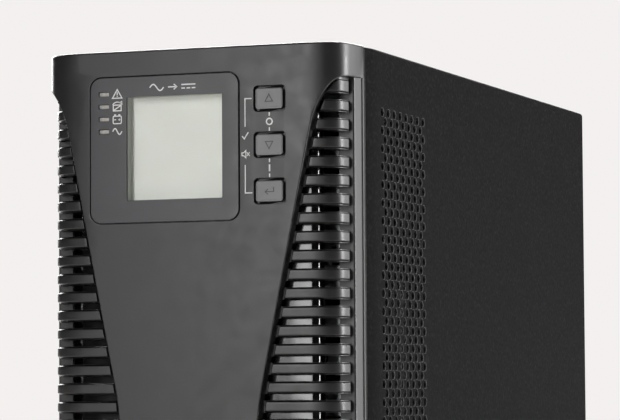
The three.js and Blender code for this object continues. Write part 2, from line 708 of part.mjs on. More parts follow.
// Colour, roughness and metalness of each finish.
const FINISH = {
  bezelPlastic: [0x4b4b4c, 0.42, 0],
  glossyPlastic: [0x161617, 0.18, 0],
  displayPlastic: [0x55565a, 0.4, 0],
  keyPlastic: [0x707070, 0.5, 0],
  blackSteel: [0x2a2b2c, 0.62, 0],
  zincSteel: [0xb4b6b6, 0.35, 1],
  darkPlastic: [0x1b1b1c, 0.5, 0],
  clearPlastic: [0xe8ece8, 0.05, 0],
  screen: [0xd0d4cb, 0.35, 0],
  lightGuide: [0x96918c, 0.3, 0],
  circuitBoard: [0x1f5a34, 0.45, 0],
  aluminium: [0xa9abad, 0.4, 1],
  sleeve: [0x15171c, 0.3, 0],
  copper: [0xa8562a, 0.35, 1],
  ferrite: [0x35332f, 0.7, 0],
  batteryCase: [0x33353a, 0.5, 0],
  chrome: [0xc8cacc, 0.2, 1],
  rubber: [0x18181a, 0.85, 0],
  redPlastic: [0xa01a14, 0.4, 0],
};

const assembly = new THREE.Group();

function add(name, finish, solid) {
  const { vertProperties, triVerts } = solid.getMesh();
  const geometry = new THREE.BufferGeometry();
  geometry.setAttribute("position", new THREE.BufferAttribute(vertProperties, 3));
  geometry.setIndex(new THREE.BufferAttribute(triVerts, 1));
  const [color, roughness, metalness] = FINISH[finish];
  const material = new THREE.MeshStandardMaterial({ color, roughness, metalness, flatShading: true });
  const mesh = new THREE.Mesh(geometry, material);
  mesh.name = name;
  assembly.add(mesh);
}

function addLeftAndRight(name, finish, make) {
  add(`${name}_left`, finish, make(-1));
  add(`${name}_right`, finish, make(1));
}

add("front_bezel", "bezelPlastic", frontBezel());
addLeftAndRight("inner_baffle", "glossyPlastic", innerBaffle);
add("display_frame", "displayPlastic", displayFrame());
add("lcd_lens", "clearPlastic", lcdLens());
add("lcd_module", "screen", lcdModule());
add("led_light_bar", "lightGuide", ledLightBar());
add("display_board", "circuitBoard", displayBoard());
KEY_NAMES.forEach((name, i) => add(name, "keyPlastic", key(i)));

add("top_cover", "blackSteel", topCover());
add("base_pan", "blackSteel", basePan());
add("front_plate", "zincSteel", frontPlate());
add("mid_shelf", "zincSteel", midShelf());
add("rear_panel", "blackSteel", rearPanel());
FOOT.places.forEach((place, i) => add(`foot_${i + 1}`, "rubber", foot(place)));

add("battery_tray", "zincSteel", batteryTray());
for (let i = 0; i < BATTERY.count; i++) {
  add(`battery_${i + 1}`, "batteryCase", battery(i));
}
add("battery_retainer", "zincSteel", batteryRetainer());

add("power_board", "circuitBoard", powerBoard());
addLeftAndRight("heatsink", "aluminium", heatsink);
for (let i = 0; i < 3; i++) {
  add(`bulk_capacitor_${i + 1}`, "sleeve", bulkCapacitor(i));
}
add("pfc_inductor", "copper", toroid([20, 140]));
add("output_inductor", "copper", toroid([20, 196]));
add("charger_transformer", "ferrite", chargerTransformer());
add("control_board", "circuitBoard", controlBoard());

addLeftAndRight("fan_frame", "darkPlastic", fanFrame);
addLeftAndRight("fan_rotor", "darkPlastic", fanRotor);
addLeftAndRight("fan_guard", "chrome", fanGuard);

OUTLET_PLACES.forEach((place, i) => add(`outlet_${i + 1}`, "darkPlastic", outlet(OUTLET, place)));
add("high_current_outlet", "darkPlastic", outlet(HIGH_CURRENT_OUTLET, HIGH_CURRENT_PLACE));
add("power_inlet", "darkPlastic", powerInlet());
add("breaker_body", "darkPlastic", breakerBody());
add("breaker_button", "redPlastic", breakerButton());
add("usb_port", "chrome", usbPort());
add("serial_port", "chrome", serialPort());
add("earth_screw", "chrome", earthScrew());
add("slot_cover", "blackSteel", slotCover());

assembly.position.y = -(DEPTH - KEY.proud) / 2;
const ups = new THREE.Group();
ups.name = "tower_ups";
ups.add(assembly);

export default ups;
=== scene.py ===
"""Looks of the tower uninterruptible power supply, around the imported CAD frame.

Lengths are in millimetres while a shape is drawn and become metres when its mesh is made. Drawing
coordinates are those of the case: x to the right, y back from the bezel's front face, z up.
"""
import json
import math

import bmesh
import bpy
from mathutils import Matrix, Vector
from mathutils.geometry import delaunay_2d_cdt


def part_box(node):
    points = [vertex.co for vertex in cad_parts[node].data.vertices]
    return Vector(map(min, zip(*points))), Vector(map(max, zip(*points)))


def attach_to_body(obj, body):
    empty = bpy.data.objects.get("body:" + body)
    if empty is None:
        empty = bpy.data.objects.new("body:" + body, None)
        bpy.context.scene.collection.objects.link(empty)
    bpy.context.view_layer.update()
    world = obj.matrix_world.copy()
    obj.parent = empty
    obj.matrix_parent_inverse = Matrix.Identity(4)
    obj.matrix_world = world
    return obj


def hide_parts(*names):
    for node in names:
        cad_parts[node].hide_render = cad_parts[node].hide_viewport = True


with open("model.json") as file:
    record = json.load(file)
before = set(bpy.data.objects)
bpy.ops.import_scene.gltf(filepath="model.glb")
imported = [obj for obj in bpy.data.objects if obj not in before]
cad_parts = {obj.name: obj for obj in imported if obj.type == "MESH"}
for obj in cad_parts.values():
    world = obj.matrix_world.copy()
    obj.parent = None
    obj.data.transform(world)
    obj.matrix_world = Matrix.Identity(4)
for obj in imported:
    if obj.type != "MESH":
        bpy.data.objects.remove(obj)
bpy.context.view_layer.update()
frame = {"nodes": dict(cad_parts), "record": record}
NODES = frame["nodes"]

# ---- sizes

MM = 0.001
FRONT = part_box("front_bezel")[0].y  # the bezel's front face, in the frame
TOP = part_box("front_bezel")[1].z / MM
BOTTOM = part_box("front_bezel")[0].z / MM
COVER_LOW, COVER_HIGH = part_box("top_cover")
COVER_HALF = COVER_HIGH.x / MM
COVER_TOP = COVER_HIGH.z / MM
COVER_BOTTOM = COVER_LOW.z / MM


def depth_of(corner):
    """How far a corner of a box lies behind the bezel's front face."""
    return (corner.y - FRONT) / MM


COVER_FRONT = depth_of(COVER_LOW)
COVER_REAR = depth_of(COVER_HIGH)
REAR_FACE = depth_of(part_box("rear_panel")[1])

PANEL_X = -1.5  # middle of the tapered centre panel
WINDOW_TOP = TOP - 18.2
WINDOW_BOTTOM = 40
WINDOW_REAR = 27.2
WALL = 2.6
RIM_DEPTH = 7.5  # of the wall round a window
SLAT_PITCH = 10.235
SLAT_FIRST = TOP - 34.35
SLAT_COUNT = 26
SLAT_HEIGHT = 5
SLAT_DEPTH = 3.4  # of the slats' faces behind the bezel's face
SLAT_REAR = 16.9  # where the slats end at the corner
WEB_DEPTH = 5.1
WEB = 0.8  # how far the webs behind the slats stick out above and below them
# plan of the wall behind the slats' ends, then of the rim beside them
CORNER_WALL = ((76.5, 20.3), (88.4, 20.3), (89.4, 20.3), (89.6, 21.3), (92, 30))
SLOT_END = 80.4  # of the slots between the slats, across the case
BAFFLE_DEPTH = 10.5
BAFFLE_TURN = 68.5  # where the baffle turns back, across the case

DISPLAY = (-60, 29.4, TOP - 96, TOP - 14.6)
LCD = (-37.8, 19.5, TOP - 83.5, TOP - 26)
LED_X = -51.7
LED_FIRST = TOP - 23.9
LED_PITCH = 6.98
LED_WINDOW = (6.4, 2.7)
ICON_X = -43.5
KEY_X = 47.5
KEY_FIRST = TOP - 29.9
KEY_PITCH = 25.4
KEY_CAP = (16, 11.5)
KEY_OPENING = (18.5, 14.2)
KEY_NODES = ("key_up", "key_down", "key_enter")

COVER_DRAW = 2.9  # how far the sides' front edge is drawn in, over the next length
COVER_DRAW_LENGTH = 14

HOLE_RADIUS = 2.5
HOLE_PITCH_Y = 10.1
HOLE_ROW = 5.04
HOLES_FRONT = 51.3
HOLES_TOP = TOP - 35
HOLE_ROWS = 47

FAN_X = 43.5
FAN_Z = 243
FAN_SCREW = 35.75  # from a fan's middle to its screws, across and up
GUARD_RINGS = (11, 21, 31)


# ---- outlines

def arc(centre, radius, start, end, steps):
    """Points on an arc, angles in degrees."""
    points = []
    for i in range(steps + 1):
        angle = math.radians(start + (end - start) * i / steps)
        points.append((centre[0] + radius * math.cos(angle), centre[1] + radius * math.sin(angle)))
    return points


def rounded(limits, radius, steps=6):
    """A rectangle (left, right, bottom, top) with round corners, counter-clockwise."""
    left, right, bottom, top = grown(limits, -radius)
    points = []
    for i, centre in enumerate(((right, top), (left, top), (left, bottom), (right, bottom))):
        points += arc(centre, radius, 90 * i, 90 * i + 90, steps)
    return points


def grown(limits, by):
    left, right, bottom, top = limits
    return (left - by, right + by, bottom - by, top + by)


def around(x, z, width, height):
    return (x - width / 2, x + width / 2, z - height / 2, z + height / 2)


def bezier(points, steps):
    """Points on a cubic or quadratic Bezier curve."""
    degree = len(points) - 1
    curve = []
    for i in range(steps + 1):
        t = i / steps
        weights = [math.comb(degree, k) * (1 - t) ** (degree - k) * t**k for k in range(degree + 1)]
        curve.append(tuple(sum(w * p[axis] for w, p in zip(weights, points)) for axis in (0, 1)))
    return curve


def signed_area(loop):
    following = loop[1:] + loop[:1]
    return sum(a[0] * b[1] - b[0] * a[1] for a, b in zip(loop, following)) / 2


def offset(loop, distance):
    """A closed loop moved to its left by distance, with mitred corners."""
    moved = []
    for i, point in enumerate(loop):
        before = Vector(point) - Vector(loop[i - 1])
        after = Vector(loop[(i + 1) % len(loop)]) - Vector(point)
        before.normalize()
        after.normalize()
        normal = Vector((-before.y - after.y, before.x + after.x))
        if normal.length < 1e-6:
            normal = Vector((-after.y, after.x))
        normal.normalize()
        along = max(0.35, normal.dot(Vector((-after.y, after.x))))
        moved.append(tuple(Vector(point) + normal * distance / along))
    return moved


# ---- bent sheets

class Path:
    """A line in a plane, followed by distance along it; a sheet is bent by laying it on one."""

    def __init__(self, points, tangents):
        self.points = [Vector(p) for p in points]
        self.tangents = [Vector(t).normalized() for t in tangents]
        self.reach = [0.0]
        for a, b in zip(self.points, self.points[1:]):
            self.reach.append(self.reach[-1] + (b - a).length)

    def at(self, distance, depth):
        """The point that far along the path and that deep to its left."""
        distance = min(max(distance, 0.0), self.reach[-1])
        i = 0
        while i < len(self.reach) - 2 and self.reach[i + 1] < distance:
            i += 1
        span = self.reach[i + 1] - self.reach[i]
        share = (distance - self.reach[i]) / span
        point = self.points[i].lerp(self.points[i + 1], share)
        tangent = self.tangents[i].lerp(self.tangents[i + 1], share).normalized()
        return point + Vector((-tangent.y, tangent.x)) * depth

    def reach_where(self, axis, value):
        """Distance at which a coordinate that grows along the path has this value."""
        for i in range(len(self.points) - 1):
            a, b = self.points[i][axis], self.points[i + 1][axis]
            if a <= value <= b and b > a:
                return self.reach[i] + (self.reach[i + 1] - self.reach[i]) * (value - a) / (b - a)
        return self.reach[-1]


def slopes(points):
    """Steps between points; those of a curve's control points give the curve's tangents."""
    return [(b[0] - a[0], b[1] - a[1]) for a, b in zip(points, points[1:])]


def bezel_path():
    """Right half of the bezel's plan, from its middle: flat, a soft corner, a side that opens."""
    control = ((54.2, 0), (88.8, 0), (90.2, 4.3), (92.2, 30))
    steps = 160
    corner = bezier(control, steps)
    return Path([(0, 0)] + corner, [(1, 0)] + bezier(slopes(control), steps))


BEZEL = bezel_path()
BEZEL_END = BEZEL.reach[-1]


def on(path):
    """A function that lays a flat drawing on a plan path, mirrored where along is negative."""
    def place(along, depth, z):
        point = path.at(abs(along), depth)
        return (math.copysign(point.x, along), point.y, z)

    return place


def corner_wall_path():
    """Wall that closes each corner behind the slats, then the rim that runs back beside them."""
    start, flat, corner, rim, end = CORNER_WALL
    turn = bezier([flat, corner, rim], 4)
    slope = Vector(end) - Vector(rim)
    tangents = [Vector((1, 0)).lerp(slope.normalized(), i / 4) for i in range(5)]
    return Path([start] + turn + [end], [(1, 0)] + tangents + [slope])


def baffle_path():
    """The baffle follows the bezel's plan, then turns back short of the corner wall."""
    last = BEZEL.reach_where(0, BAFFLE_TURN)
    steps = 12
    reaches = [0.0] + [54.2 + (last - 54.2) * i / steps for i in range(steps + 1)]
    points = [BEZEL.at(reach, BAFFLE_DEPTH) for reach in reaches]
    tangents = [(1, 0)] + [BEZEL.at(reach, 0) - BEZEL.at(reach - 0.1, 0) for reach in reaches[1:]]
    x, y = points[-1]
    control = [(x, y), (x + 3, y + 0.6), (x + 4, y + 1.6), (x + 4.5, y + 8)]
    return Path(points + bezier(control, 10)[1:], tangents + bezier(slopes(control), 10)[1:])


def along_bezel(x):
    """Where on the flat bezel drawing a point x mm right of the middle lies."""
    return math.copysign(BEZEL.reach_where(0, abs(x)), x)


def bezel_stations():
    """Places along the bezel where its plan has turned by another 3 degrees."""
    stations = []
    turned = 0
    for reach, tangent in zip(BEZEL.reach, BEZEL.tangents):
        angle = math.degrees(math.atan2(tangent.y, tangent.x))
        if angle >= turned:
            stations += [reach, -reach]
            turned += 3
    return stations


# ---- meshes

def fillet(radius, steps=3):
    """Edge rings [(distance into the material, depth)] of a rounded front edge."""
    rings = []
    for i in range(steps + 1):
        angle = math.pi / 2 * i / steps
        rings.append((radius * (1 - math.sin(angle)), radius * (1 - math.cos(angle))))
    return rings


def face_between(bm, loops, rows):
    """Fills the area that lies to the left of every loop with triangles."""
    points = [Vector(p) for loop in loops for p in loop]
    edges = []
    start = 0
    for loop in loops:
        count = len(loop)
        edges += [(start + i, start + (i + 1) % count) for i in range(count)]
        start += count
    filled = delaunay_2d_cdt(points, edges, [], 0, 1e-6)
    origin = [sources[0] for sources in filled[3]]
    triangles = [tuple(origin[i] for i in corners) for corners in filled[2]]
    verts = [v for row in rows for v in row]
    for number in left_of(edges, triangles):
        bm.faces.new([verts[i] for i in triangles[number]])


def left_of(walls, triangles):
    """The triangles that lie to the left of the walls, found by spreading out from them."""
    owner = {}
    for number, (a, b, c) in enumerate(triangles):
        owner.update({(a, b): number, (b, c): number, (c, a): number})
    found = {owner[wall] for wall in walls if wall in owner}
    closed = set(walls) | {(b, a) for a, b in walls}
    fresh = sorted(found)
    while fresh:
        a, b, c = triangles[fresh.pop()]
        for edge in ((b, a), (c, b), (a, c)):
            if edge in owner and edge not in closed and owner[edge] not in found:
                found.add(owner[edge])
                fresh.append(owner[edge])
    return sorted(found)


def band(bm, near, far):
    """Faces between two rings of vertices, one of which may be a single vertex."""
    for i in range(max(len(near), len(far))):
        j = i + 1
        corners = [near[i % len(near)], near[j % len(near)], far[j % len(far)], far[i % len(far)]]
        bm.faces.new(list(dict.fromkeys(corners)))


def slab(bm, outline, edge, holes=(), front=0.0):
    """A sheet drawn flat, as (along, depth, z). Each loop's edge follows rings of (inset, depth).

    holes are pairs of a loop and its edge's rings; insets go into the sheet's material.
    """
    drawn = []
    for number, (loop, rings) in enumerate([(outline, edge), *holes]):
        if (signed_area(loop) > 0) == (number > 0):
            loop = loop[::-1]
        points = [offset(loop, inset) for inset, _ in rings]
        rows = []
        for (_, depth), ring in zip(rings, points):
            rows.append([bm.verts.new((x, front + depth, z)) for x, z in ring])
        for near, far in zip(rows, rows[1:]):
            band(bm, near, far)
        drawn.append((points, rows))
    for end in (0, -1):
        face_between(bm, [points[end] for points, _ in drawn], [rows[end] for _, rows in drawn])


def cut_at(bm, places, normal=(1, 0, 0)):
    """Cuts every face on the planes at these places along the normal."""
    for place in places:
        everything = bm.verts[:] + bm.edges[:] + bm.faces[:]
        at = Vector(normal) * place
        bmesh.ops.bisect_plane(bm, geom=everything, dist=1e-5, plane_co=at, plane_no=normal)


def lay(bm, place):
    """Moves a flat drawing to its place in the case."""
    for vert in bm.verts:
        vert.co = Vector(place(*vert.co))


def paint(bm, chosen):
    """Gives the faces that chosen picks the piece's second finish."""
    bm.normal_update()
    for face in bm.faces:
        face.material_index = int(chosen(face))


def finished_mesh(name, bm, finishes, angle=35, front=FRONT):
    """The mesh of a drawing in millimetres, with smooth shading below that angle."""
    bmesh.ops.recalc_face_normals(bm, faces=bm.faces[:])
    for vert in bm.verts:
        vert.co = Vector((vert.co.x * MM, front + vert.co.y * MM, vert.co.z * MM))
    mesh = bpy.data.meshes.new(name)
    bm.to_mesh(mesh)
    bm.free()
    mesh.shade_smooth()
    mesh.set_sharp_from_angle(angle=math.radians(angle))
    for finish in finishes:
        mesh.materials.append(finish.material)
    return mesh


def added(name, data):
    """A new object, put in the scene."""
    made = bpy.data.objects.new(name, data)
    bpy.context.scene.collection.objects.link(made)
    return made


def solid(name, bm, *finishes, angle=35):
    """An object of a drawing, with one finish or with a second one where it was painted."""
    return added(name, finished_mesh(name, bm, finishes, angle))


def weighted(piece):
    """Keeps flat faces flat where they meet a small rounded edge."""
    modifier = piece.modifiers.new("weighted normals", "WEIGHTED_NORMAL")
    modifier.keep_sharp = True


def lathe(bm, profile, centre, sides=32):
    """A closed turned shape about the depth line through centre, from (radius, depth) points."""
    x, y, z = centre
    rings = []
    for radius, depth in profile:
        circle = arc((x, z), radius, 0, 360, sides)[:-1] if radius > 0 else [(x, z)]
        rings.append([bm.verts.new((across, y + depth, up)) for across, up in circle])
    for near, far in zip(rings, rings[1:]):
        band(bm, near, far)


def ribbon(bm, points, width, closed, front, thickness=0.06):
    """A printed line: a thin flat strip along points (x, z) on a face at y = front."""
    points = [Vector(point) for point in points]
    last = len(points) - 1
    rings = []
    for i, point in enumerate(points):
        before = points[i - 1] if closed or i > 0 else point
        after = points[(i + 1) % len(points)] if closed or i < last else point
        first = (point - before).normalized()
        second = (after - point).normalized()
        direction = (first + second).normalized()
        reach = width / 2 / max(0.4, abs(direction.dot(second if second.length else first)))
        side = Vector((-direction.y, direction.x)) * reach
        left, right = point + side, point - side
        ring = ((left, 0), (right, 0), (right, thickness), (left, thickness))
        rings.append([bm.verts.new((at.x, front + y, at.y)) for at, y in ring])
    for near, far in zip(rings, rings[1:]):
        band(bm, near, far)
    if closed:
        band(bm, rings[-1], rings[0])
    else:
        bm.faces.new(rings[0])
        bm.faces.new(rings[-1])


def rod(bm, start, end, radius):
    """A round rod between two points."""
    start, end = Vector(start), Vector(end)
    middle = Matrix.Translation((start + end) / 2)
    turn = (end - start).to_track_quat("Z", "Y").to_matrix().to_4x4()
    length = (end - start).length
    bmesh.ops.create_cone(
        bm, cap_ends=True, segments=12, radius1=radius, radius2=radius, depth=length, matrix=middle @ turn
    )


# ---- materials

def linear(*display):
    """A display colour, 0 to 255, as the linear colour that shaders use."""
    shares = [value / 255 for value in display]
    return tuple(s / 12.92 if s <= 0.04045 else ((s + 0.055) / 1.055) ** 2.4 for s in shares) + (1,)


class Finish:
    """A material whose colour, roughness and bump come from textures at real sizes."""

    def __init__(self, name, colour, roughness, metallic=0.0):
        self.material = bpy.data.materials.new(name)
        self.material.use_nodes = True
        self.tree = self.material.node_tree
        self.shader = self.tree.nodes["Principled BSDF"]
        for socket, value in (("Base Color", colour), ("Roughness", roughness), ("Metallic", metallic)):
            self.shader.inputs[socket].default_value = value
        self.material.diffuse_color = colour
        self.colour = colour
        self.place = self.node("ShaderNodeTexCoord", {}).outputs["Object"]

    def node(self, kind, inputs, **settings):
        """Adds a node. Each of its inputs gets a value or another node's output."""
        made = self.tree.nodes.new(kind)
        for name, value in settings.items():
            setattr(made, name, value)
        for name, value in inputs.items():
            if isinstance(value, bpy.types.NodeSocket):
                self.link(value, made.inputs[name])
            else:
                made.inputs[name].default_value = value
        return made

    def link(self, source, target):
        self.tree.links.new(source, target)

    def coordinate(self, axis):
        return self.node("ShaderNodeSeparateXYZ", {"Vector": self.place}).outputs[axis]

    def noise(self, size, detail=2.0, stretch=(1, 1, 1)):
        """Clouds about size millimetres across, 0 to 1."""
        scale = [factor / (size * MM) for factor in stretch]
        mapping = self.node("ShaderNodeMapping", {"Vector": self.place, "Scale": scale})
        inputs = {"Vector": mapping.outputs["Vector"], "Scale": 1, "Detail": detail}
        return self.node("ShaderNodeTexNoise", inputs).outputs["Fac"]

    def cells(self, size, feature="F1", output="Distance"):
        """Crystal-like cells about size millimetres across."""
        inputs = {"Vector": self.place, "Scale": 1 / (size * MM)}
        return self.node("ShaderNodeTexVoronoi", inputs, feature=feature).outputs[output]

    def between(self, factor, low, high, start=0.3, end=0.7):
        """Maps a texture's start to end onto low to high."""
        inputs = {"Value": factor, "From Min": start, "From Max": end, "To Min": low, "To Max": high}
        return self.node("ShaderNodeMapRange", inputs).outputs["Result"]

    def tint(self, factor, other, start=0.3, end=0.7):
        """Mixes the present colour towards another one where the texture is strong."""
        base = self.shader.inputs["Base Color"]
        present = base.links[0].from_socket if base.is_linked else self.colour
        inputs = {"A": present, "B": other, "Factor": self.between(factor, 0, 1, start, end)}
        self.link(self.node("ShaderNodeMix", inputs, data_type="RGBA").outputs["Result"], base)

    def roughen(self, factor, low, high, start=0.3, end=0.7):
        self.link(self.between(factor, low, high, start, end), self.shader.inputs["Roughness"])

    def bump(self, height, depth, strength=1.0):
        """Raises the surface by up to depth millimetres where the texture is strong."""
        normal = self.shader.inputs["Normal"]
        inputs = {"Height": height, "Distance": depth * MM, "Strength": strength}
        if normal.is_linked:
            inputs["Normal"] = normal.links[0].from_socket
        self.link(self.node("ShaderNodeBump", inputs).outputs["Normal"], normal)


def times(factor, colour):
    """A linear colour made darker or lighter."""
    return tuple(factor * c for c in colour[:3]) + (1,)


def moulded_plastic(name, colour, roughness, grain=0.35, depth=0.006):
    """Satin moulded plastic: fine spark-eroded grain and a slightly uneven gloss."""
    finish = Finish(name, colour, roughness)
    finish.tint(finish.noise(22), times(0.86, colour))
    finish.roughen(finish.noise(9, 4), roughness - 0.03, roughness + 0.04)
    finish.bump(finish.noise(grain, 1), depth)
    return finish


def glossy_plastic(name, colour):
    finish = Finish(name, colour, 0.14)
    finish.tint(finish.noise(15), times(0.8, colour))
    finish.roughen(finish.noise(6, 3), 0.1, 0.18)
    finish.bump(finish.noise(5), 0.01)
    return finish


def powder_coat(name, colour, gloss):
    """Fine textured powder coat on steel: small pimples with dull valleys between."""
    finish = Finish(name, colour, 0.72)
    finish.shader.inputs["Specular IOR Level"].default_value = gloss
    pimples = finish.cells(0.9, "SMOOTH_F1")
    finish.tint(pimples, times(0.7, colour), 0.2, 0.7)
    finish.tint(finish.noise(2.2, 3), times(2.2, colour), 0.52, 0.72)
    finish.roughen(finish.noise(1.6, 3), 0.66, 0.8)
    finish.bump(pimples, 0.05, 0.7)
    finish.bump(finish.noise(0.5, 3), 0.02, 0.6)
    return finish


def zinc_steel(name):
    """Hot-dip zinc: large soft-edged crystals, each with its own grey and gloss."""
    finish = Finish(name, linear(176, 179, 180), 0.34, 1.0)
    crystals = finish.cells(7, "F1", "Color")
    finish.tint(crystals, linear(140, 144, 146), 0.2, 0.9)
    finish.roughen(crystals, 0.26, 0.46, 0.1, 0.9)
    finish.bump(finish.noise(1.2, 3), 0.01)
    return finish


def brushed_metal(name, colour, roughness):
    """Metal with fine lines along one direction."""
    finish = Finish(name, colour, roughness, 1.0)
    lines = finish.noise(8, 3, (1, 30, 1))
    finish.tint(lines, times(0.8, colour))
    finish.roughen(lines, roughness - 0.08, roughness + 0.08)
    finish.bump(lines, 0.004)
    return finish


def clear_plastic(name):
    """Clear window with faint wipe marks."""
    finish = Finish(name, (1, 1, 1, 1), 0.03)
    finish.shader.inputs["Transmission Weight"].default_value = 1
    finish.shader.inputs["IOR"].default_value = 1.3
    finish.roughen(finish.noise(14, 5, (1, 1, 3)), 0.015, 0.04)
    return finish


def screen(name):
    """Pale reflective LCD with the faint lattice of its segments."""
    finish = Finish(name, linear(192, 195, 187), 0.5)
    finish.tint(finish.noise(40), linear(187, 190, 182))
    flat = finish.node("ShaderNodeCombineXYZ", {"X": finish.coordinate("X"), "Y": finish.coordinate("Z")})
    inputs = {"Vector": flat.outputs["Vector"], "Scale": 1, "Mortar Size": 0.04 * MM}
    inputs |= {"Brick Width": 1.1 * MM, "Row Height": 1.1 * MM}
    lattice = finish.node("ShaderNodeTexBrick", inputs, offset=0.0)
    finish.tint(lattice.outputs["Fac"], linear(182, 185, 177), 0, 1)
    finish.roughen(finish.noise(5), 0.45, 0.55)
    return finish


def light_guide(name):
    """Milky light guide, with a cool painted shade along its left end."""
    finish = Finish(name, linear(176, 170, 163), 0.35)
    left = LED_X - LED_WINDOW[0] / 2
    # painted shade: the left end of each lamp window is tinted darker and cooler
    finish.tint(finish.coordinate("X"), linear(128, 138, 144), (left + 2.2) * MM, (left + 1.4) * MM)
    finish.tint(finish.noise(1.5), linear(150, 146, 140))
    finish.roughen(finish.noise(2), 0.3, 0.42)
    return finish


def printed(name):
    """Slightly worn screen-printing ink."""
    finish = Finish(name, linear(226, 226, 224), 0.55)
    finish.tint(finish.noise(0.5, 3), linear(208, 208, 206))
    finish.roughen(finish.noise(1), 0.5, 0.62)
    return finish


def circuit_board(name):
    """Green solder mask over copper traces."""
    finish = Finish(name, linear(20, 78, 42), 0.35)
    finish.tint(finish.cells(4, "DISTANCE_TO_EDGE"), linear(44, 112, 62), 0.06, 0.03)
    finish.roughen(finish.noise(3), 0.28, 0.42)
    finish.bump(finish.cells(4, "DISTANCE_TO_EDGE"), 0.03)
    return finish


def winding(name):
    """Enamelled copper wire lying side by side."""
    finish = Finish(name, linear(176, 84, 40), 0.3, 1.0)
    inputs = {"Vector": finish.place, "Scale": 120}
    turns = finish.node("ShaderNodeTexWave", inputs, wave_type="RINGS", rings_direction="Z")
    finish.tint(turns.outputs["Fac"], linear(96, 40, 18), 0.1, 0.9)
    finish.roughen(finish.noise(4), 0.24, 0.4)
    finish.bump(turns.outputs["Fac"], 0.3)
    return finish


def rubber(name):
    finish = Finish(name, linear(26, 26, 28), 0.8)
    finish.tint(finish.noise(3, 4), linear(38, 38, 40))
    finish.roughen(finish.noise(1.5), 0.72, 0.88)
    finish.bump(finish.noise(0.4), 0.02)
    return finish


BEZEL_PLASTIC = moulded_plastic("bezel plastic", linear(30, 29, 29), 0.36)
KEY_PLASTIC = moulded_plastic("key plastic", linear(128, 128, 129), 0.5, 0.5, 0.012)
ENGRAVED = moulded_plastic("engraved plastic", linear(84, 84, 85), 0.6, 0.5, 0.012)
POWDER_COAT = powder_coat("powder coat", linear(18, 18, 19), 0.03)
# a lighter, glossier copy of the powder coat: painted light on the hole walls and sheet edges
PAINTED_LIGHT_EDGE_COAT = powder_coat("powder coat painted lighter on edges", linear(34, 34, 35), 0.7)
CHROME = brushed_metal("bright plating", linear(205, 207, 208), 0.18)
PRINT = printed("printing ink")

FINISHES = {
    "bezel_plastic": BEZEL_PLASTIC,
    "glossy_plastic": glossy_plastic("glossy plastic", linear(18, 18, 19)),
    "display_plastic": moulded_plastic("display overlay", linear(46, 46, 50), 0.34, 0.25, 0.003),
    "clear_plastic": clear_plastic("clear window"),
    "screen": screen("screen"),
    "light_guide": light_guide("light guide"),
    "circuit_board": circuit_board("circuit board"),
    "key_plastic": KEY_PLASTIC,
    "black_steel": POWDER_COAT,
    "zinc_steel": zinc_steel("zinc-coated steel"),
    "rubber": rubber("rubber"),
    "battery_case": moulded_plastic("battery case", linear(50, 52, 56), 0.5, 0.6, 0.02),
    "aluminium": brushed_metal("extruded aluminium", linear(172, 174, 176), 0.38),
    "sleeve": glossy_plastic("capacitor sleeve", linear(22, 24, 32)),
    "copper": winding("winding"),
    "ferrite": moulded_plastic("ferrite and tape", linear(48, 46, 42), 0.65, 0.8, 0.03),
    "dark_plastic": moulded_plastic("dark plastic", linear(28, 28, 29), 0.45, 0.4, 0.01),
    "chrome": CHROME,
    "red_plastic": moulded_plastic("red plastic", linear(168, 26, 20), 0.4, 0.4, 0.006),
}


# ---- bezel

WINDOW_EDGE = fillet(0.7) + [(0, RIM_DEPTH), (2, RIM_DEPTH), (2, WALL)]
OUTER_EDGE = fillet(1.3, 4) + [(0, WALL)]


def panel_edge():
    """Half of the centre panel's outline, from the foot of a window to the top of its arch."""
    stem, waist = 41, TOP - 201
    shoulder = Vector((72.4, TOP - 46))
    turn = Vector((stem, waist))
    foot = bezier([(stem + 16, WINDOW_BOTTOM), (stem, WINDOW_BOTTOM), (stem, WINDOW_BOTTOM + 16)], 6)
    bend = bezier([(stem, waist - 14), tuple(turn), tuple(turn.lerp(shoulder, 0.09))], 5)
    slope = [tuple(turn.lerp(shoulder, share / 10)) for share in range(2, 10)]
    arch = bezier([tuple(shoulder), (75, TOP - 34), (82.5, WINDOW_TOP), (93, WINDOW_TOP)], 18)
    return foot + bend + slope + arch


def window_outline(side):
    """A louvre window on the flat bezel drawing."""
    rear = BEZEL.reach_where(1, WINDOW_REAR)
    loop = []
    for half, z in panel_edge():
        along = along_bezel(PANEL_X + side * half)
        if abs(along) < rear - 0.3:
            loop.append((along, z))
    return loop + [(side * rear, loop[-1][1] + 0.05), (side * rear, WINDOW_BOTTOM)]


def inside_window(side, inset):
    """A window's outline moved inwards."""
    return offset(window_outline(side), -inset if side > 0 else inset)


def reach_at(loop, z, side):
    """How far from the middle a window's panel edge lies at a height."""
    for a, b in zip(loop, loop[1:]):
        if a[1] <= z <= b[1] and b[1] > a[1]:
            return a[0] + (b[0] - a[0]) * (z - a[1]) / (b[1] - a[1])
    return side * BEZEL.reach_where(1, WINDOW_REAR)


def slat_levels():
    """Bottom and top of every slat's outer face, from the top one down."""
    levels = [(TOP - 26.6, TOP - 19.2)]
    for i in range(SLAT_COUNT):
        middle = SLAT_FIRST - i * SLAT_PITCH
        levels.append((middle - SLAT_HEIGHT / 2, middle + SLAT_HEIGHT / 2))
    return levels


